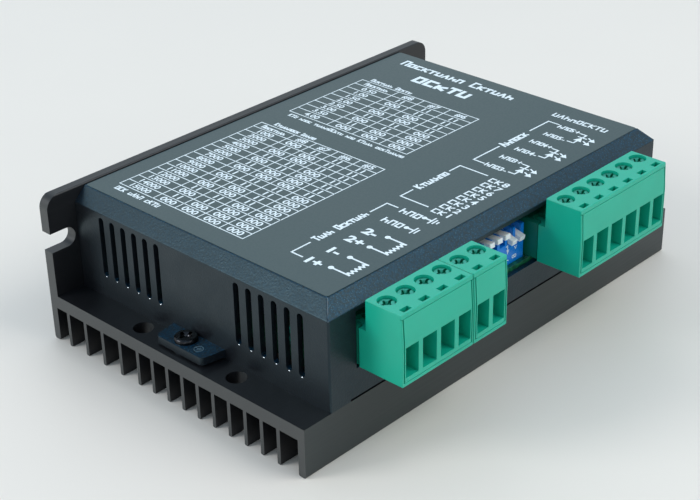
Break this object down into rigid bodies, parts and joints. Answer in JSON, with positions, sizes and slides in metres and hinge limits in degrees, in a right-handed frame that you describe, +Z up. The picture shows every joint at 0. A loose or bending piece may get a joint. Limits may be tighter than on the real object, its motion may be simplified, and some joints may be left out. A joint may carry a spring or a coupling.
{
  "type": "stepper motor driver module",
  "caption": "Enclosed stepper motor driver: finned heat sink with mounting flange, vented sheet cover, piano-type setting switches and pluggable screw terminals.",
  "frame": {"origin": "bottom centre of the whole module, plugs included", "axes": "+X along the connector side, left to right; -Y out of the connector side; +Z up from the fin tips"},
  "size_m": [0.118, 0.0866, 0.034],
  "materials": {
    "black_anodised": "satin black anodised extrusion",
    "black_powder_coat": "fine-textured dark blue-black powder coat",
    "label_print": "dark grey satin film with white print",
    "black_screw": "blackened steel",
    "zinc_steel": "zinc plated",
    "green_plastic": "moulded green polyamide",
    "board_green": "solder resist over glass fibre",
    "brass_standoff": "nickel-free brass",
    "thermal_silicone": "grey silicone sheet",
    "package_black": "moulded epoxy",
    "capacitor_sleeve": "dark sleeve on aluminium can",
    "resistor_black": "ceramic chip",
    "ferrite_grey": "ferrite",
    "tinned_copper": "bright tin plate",
    "switch_blue": "moulded blue",
    "lever_white": "moulded white",
    "lamp_green": "tinted clear epoxy",
    "lamp_red": "tinted clear epoxy"
  },
  "bodies": {
    "case": {"heat_sink": "black_anodised", "top_cover": "black_powder_coat", "label_film": "label_print", "cover_screws": "black_screw", "circuit_board": "board_green", "board_standoffs": "brass_standoff", "inner_screws": "zinc_steel", "thermal_pad": "thermal_silicone", "power_mosfets": "package_black", "bus_capacitors": "capacitor_sleeve", "controller_chip": "package_black", "gate_drivers": "package_black", "optocouplers": "package_black", "sense_resistors": "resistor_black", "buck_inductor": "ferrite_grey", "power_header": "green_plastic", "signal_header": "green_plastic", "header_pins": "tinned_copper", "dip_switch_body": "switch_blue", "dip_switch_contacts": "tinned_copper", "status_led_green": "lamp_green", "status_led_red": "lamp_red"},
    "dip_lever_1": {"dip_lever_1": "lever_white"},
    "dip_lever_2": {"dip_lever_2": "lever_white"},
    "dip_lever_3": {"dip_lever_3": "lever_white"},
    "dip_lever_4": {"dip_lever_4": "lever_white"},
    "dip_lever_5": {"dip_lever_5": "lever_white"},
    "dip_lever_6": {"dip_lever_6": "lever_white"},
    "dip_lever_7": {"dip_lever_7": "lever_white"},
    "dip_lever_8": {"dip_lever_8": "lever_white"},
    "motor_plug": {"motor_plug_housing": "green_plastic", "motor_plug_contacts": "tinned_copper"},
    "motor_screw_1": {"motor_screw_1": "zinc_steel"},
    "motor_wire_clamp_1": {"motor_wire_clamp_1": "zinc_steel"},
    "motor_screw_2": {"motor_screw_2": "zinc_steel"},
    "motor_wire_clamp_2": {"motor_wire_clamp_2": "zinc_steel"},
    "motor_screw_3": {"motor_screw_3": "zinc_steel"},
    "motor_wire_clamp_3": {"motor_wire_clamp_3": "zinc_steel"},
    "motor_screw_4": {"motor_screw_4": "zinc_steel"},
    "motor_wire_clamp_4": {"motor_wire_clamp_4": "zinc_steel"},
    "supply_plug": {"supply_plug_housing": "green_plastic", "supply_plug_contacts": "tinned_copper"},
    "supply_screw_1": {"supply_screw_1": "zinc_steel"},
    "supply_wire_clamp_1": {"supply_wire_clamp_1": "zinc_steel"},
    "supply_screw_2": {"supply_screw_2": "zinc_steel"},
    "supply_wire_clamp_2": {"supply_wire_clamp_2": "zinc_steel"},
    "signal_plug": {"signal_plug_housing": "green_plastic", "signal_plug_contacts": "tinned_copper"},
    "signal_screw_1": {"signal_screw_1": "zinc_steel"},
    "signal_wire_clamp_1": {"signal_wire_clamp_1": "zinc_steel"},
    "signal_screw_2": {"signal_screw_2": "zinc_steel"},
    "signal_wire_clamp_2": {"signal_wire_clamp_2": "zinc_steel"},
    "signal_screw_3": {"signal_screw_3": "zinc_steel"},
    "signal_wire_clamp_3": {"signal_wire_clamp_3": "zinc_steel"},
    "signal_screw_4": {"signal_screw_4": "zinc_steel"},
    "signal_wire_clamp_4": {"signal_wire_clamp_4": "zinc_steel"},
    "signal_screw_5": {"signal_screw_5": "zinc_steel"},
    "signal_wire_clamp_5": {"signal_wire_clamp_5": "zinc_steel"},
    "signal_screw_6": {"signal_screw_6": "zinc_steel"},
    "signal_wire_clamp_6": {"signal_wire_clamp_6": "zinc_steel"}
  },
  "joints": [
    {"name": "dip_lever_1_tip", "type": "hinge", "parent": "case", "child": "dip_lever_1", "pos_m": [-0.01129, -0.02385, 0.0257], "axis": [1, 0, 0], "range_deg": [0, 19]},
    {"name": "dip_lever_2_tip", "type": "hinge", "parent": "case", "child": "dip_lever_2", "pos_m": [-0.00875, -0.02385, 0.0257], "axis": [1, 0, 0], "range_deg": [-19, 0]},
    {"name": "dip_lever_3_tip", "type": "hinge", "parent": "case", "child": "dip_lever_3", "pos_m": [-0.00621, -0.02385, 0.0257], "axis": [1, 0, 0], "range_deg": [-19, 0]},
    {"name": "dip_lever_4_tip", "type": "hinge", "parent": "case", "child": "dip_lever_4", "pos_m": [-0.00367, -0.02385, 0.0257], "axis": [1, 0, 0], "range_deg": [0, 19]},
    {"name": "dip_lever_5_tip", "type": "hinge", "parent": "case", "child": "dip_lever_5", "pos_m": [-0.00113, -0.02385, 0.0257], "axis": [1, 0, 0], "range_deg": [0, 19]},
    {"name": "dip_lever_6_tip", "type": "hinge", "parent": "case", "child": "dip_lever_6", "pos_m": [0.00141, -0.02385, 0.0257], "axis": [1, 0, 0], "range_deg": [0, 19]},
    {"name": "dip_lever_7_tip", "type": "hinge", "parent": "case", "child": "dip_lever_7", "pos_m": [0.00395, -0.02385, 0.0257], "axis": [1, 0, 0], "range_deg": [-19, 0]},
    {"name": "dip_lever_8_tip", "type": "hinge", "parent": "case", "child": "dip_lever_8", "pos_m": [0.00649, -0.02385, 0.0257], "axis": [1, 0, 0], "range_deg": [-19, 0]},
    {"name": "motor_plug_pull", "type": "slide", "parent": "case", "child": "motor_plug", "axis": [0, -1, 0], "range_m": [0, 0.012]},
    {"name": "motor_screw_1_turn", "type": "hinge", "parent": "motor_plug", "child": "motor_screw_1", "pos_m": [-0.0421, -0.0374, 0.03], "axis": [0, 0, 1], "range_deg": [0, 1820]},
    {"name": "motor_wire_clamp_1_rise", "type": "slide", "parent": "motor_plug", "child": "motor_wire_clamp_1", "axis": [0, 0, 1], "range_m": [0, 0.0025]},
    {"name": "motor_screw_2_turn", "type": "hinge", "parent": "motor_plug", "child": "motor_screw_2", "pos_m": [-0.03702, -0.0374, 0.03], "axis": [0, 0, 1], "range_deg": [0, 1820]},
    {"name": "motor_wire_clamp_2_rise", "type": "slide", "parent": "motor_plug", "child": "motor_wire_clamp_2", "axis": [0, 0, 1], "range_m": [0, 0.0025]},
    {"name": "motor_screw_3_turn", "type": "hinge", "parent": "motor_plug", "child": "motor_screw_3", "pos_m": [-0.03194, -0.0374, 0.03], "axis": [0, 0, 1], "range_deg": [0, 1820]},
    {"name": "motor_wire_clamp_3_rise", "type": "slide", "parent": "motor_plug", "child": "motor_wire_clamp_3", "axis": [0, 0, 1], "range_m": [0, 0.0025]},
    {"name": "motor_screw_4_turn", "type": "hinge", "parent": "motor_plug", "child": "motor_screw_4", "pos_m": [-0.02686, -0.0374, 0.03], "axis": [0, 0, 1], "range_deg": [0, 1820]},
    {"name": "motor_wire_clamp_4_rise", "type": "slide", "parent": "motor_plug", "child": "motor_wire_clamp_4", "axis": [0, 0, 1], "range_m": [0, 0.0025]},
    {"name": "supply_plug_pull", "type": "slide", "parent": "case", "child": "supply_plug", "axis": [0, -1, 0], "range_m": [0, 0.012]},
    {"name": "supply_screw_1_turn", "type": "hinge", "parent": "supply_plug", "child": "supply_screw_1", "pos_m": [-0.02178, -0.0374, 0.03], "axis": [0, 0, 1], "range_deg": [0, 1820]},
    {"name": "supply_wire_clamp_1_rise", "type": "slide", "parent": "supply_plug", "child": "supply_wire_clamp_1", "axis": [0, 0, 1], "range_m": [0, 0.0025]},
    {"name": "supply_screw_2_turn", "type": "hinge", "parent": "supply_plug", "child": "supply_screw_2", "pos_m": [-0.0167, -0.0374, 0.03], "axis": [0, 0, 1], "range_deg": [0, 1820]},
    {"name": "supply_wire_clamp_2_rise", "type": "slide", "parent": "supply_plug", "child": "supply_wire_clamp_2", "axis": [0, 0, 1], "range_m": [0, 0.0025]},
    {"name": "signal_plug_pull", "type": "slide", "parent": "case", "child": "signal_plug", "axis": [0, -1, 0], "range_m": [0, 0.012]},
    {"name": "signal_screw_1_turn", "type": "hinge", "parent": "signal_plug", "child": "signal_screw_1", "pos_m": [0.0119, -0.0374, 0.03], "axis": [0, 0, 1], "range_deg": [0, 1820]},
    {"name": "signal_wire_clamp_1_rise", "type": "slide", "parent": "signal_plug", "child": "signal_wire_clamp_1", "axis": [0, 0, 1], "range_m": [0, 0.0025]},
    {"name": "signal_screw_2_turn", "type": "hinge", "parent": "signal_plug", "child": "signal_screw_2", "pos_m": [0.01698, -0.0374, 0.03], "axis": [0, 0, 1], "range_deg": [0, 1820]},
    {"name": "signal_wire_clamp_2_rise", "type": "slide", "parent": "signal_plug", "child": "signal_wire_clamp_2", "axis": [0, 0, 1], "range_m": [0, 0.0025]},
    {"name": "signal_screw_3_turn", "type": "hinge", "parent": "signal_plug", "child": "signal_screw_3", "pos_m": [0.02206, -0.0374, 0.03], "axis": [0, 0, 1], "range_deg": [0, 1820]},
    {"name": "signal_wire_clamp_3_rise", "type": "slide", "parent": "signal_plug", "child": "signal_wire_clamp_3", "axis": [0, 0, 1], "range_m": [0, 0.0025]},
    {"name": "signal_screw_4_turn", "type": "hinge", "parent": "signal_plug", "child": "signal_screw_4", "pos_m": [0.02714, -0.0374, 0.03], "axis": [0, 0, 1], "range_deg": [0, 1820]},
    {"name": "signal_wire_clamp_4_rise", "type": "slide", "parent": "signal_plug", "child": "signal_wire_clamp_4", "axis": [0, 0, 1], "range_m": [0, 0.0025]},
    {"name": "signal_screw_5_turn", "type": "hinge", "parent": "signal_plug", "child": "signal_screw_5", "pos_m": [0.03222, -0.0374, 0.03], "axis": [0, 0, 1], "range_deg": [0, 1820]},
    {"name": "signal_wire_clamp_5_rise", "type": "slide", "parent": "signal_plug", "child": "signal_wire_clamp_5", "axis": [0, 0, 1], "range_m": [0, 0.0025]},
    {"name": "signal_screw_6_turn", "type": "hinge", "parent": "signal_plug", "child": "signal_screw_6", "pos_m": [0.0373, -0.0374, 0.03], "axis": [0, 0, 1], "range_deg": [0, 1820]},
    {"name": "signal_wire_clamp_6_rise", "type": "slide", "parent": "signal_plug", "child": "signal_wire_clamp_6", "axis": [0, 0, 1], "range_m": [0, 0.0025]}
  ],
  "couplings": [
    {"joint": "motor_screw_1_turn", "follows": "motor_wire_clamp_1_rise", "rad_per_m": 12566},
    {"joint": "motor_screw_2_turn", "follows": "motor_wire_clamp_2_rise", "rad_per_m": 12566},
    {"joint": "motor_screw_3_turn", "follows": "motor_wire_clamp_3_rise", "rad_per_m": 12566},
    {"joint": "motor_screw_4_turn", "follows": "motor_wire_clamp_4_rise", "rad_per_m": 12566},
    {"joint": "supply_screw_1_turn", "follows": "supply_wire_clamp_1_rise", "rad_per_m": 12566},
    {"joint": "supply_screw_2_turn", "follows": "supply_wire_clamp_2_rise", "rad_per_m": 12566},
    {"joint": "signal_screw_1_turn", "follows": "signal_wire_clamp_1_rise", "rad_per_m": 12566},
    {"joint": "signal_screw_2_turn", "follows": "signal_wire_clamp_2_rise", "rad_per_m": 12566},
    {"joint": "signal_screw_3_turn", "follows": "signal_wire_clamp_3_rise", "rad_per_m": 12566},
    {"joint": "signal_screw_4_turn", "follows": "signal_wire_clamp_4_rise", "rad_per_m": 12566},
    {"joint": "signal_screw_5_turn", "follows": "signal_wire_clamp_5_rise", "rad_per_m": 12566},
    {"joint": "signal_screw_6_turn", "follows": "signal_wire_clamp_6_rise", "rad_per_m": 12566}
  ]
}
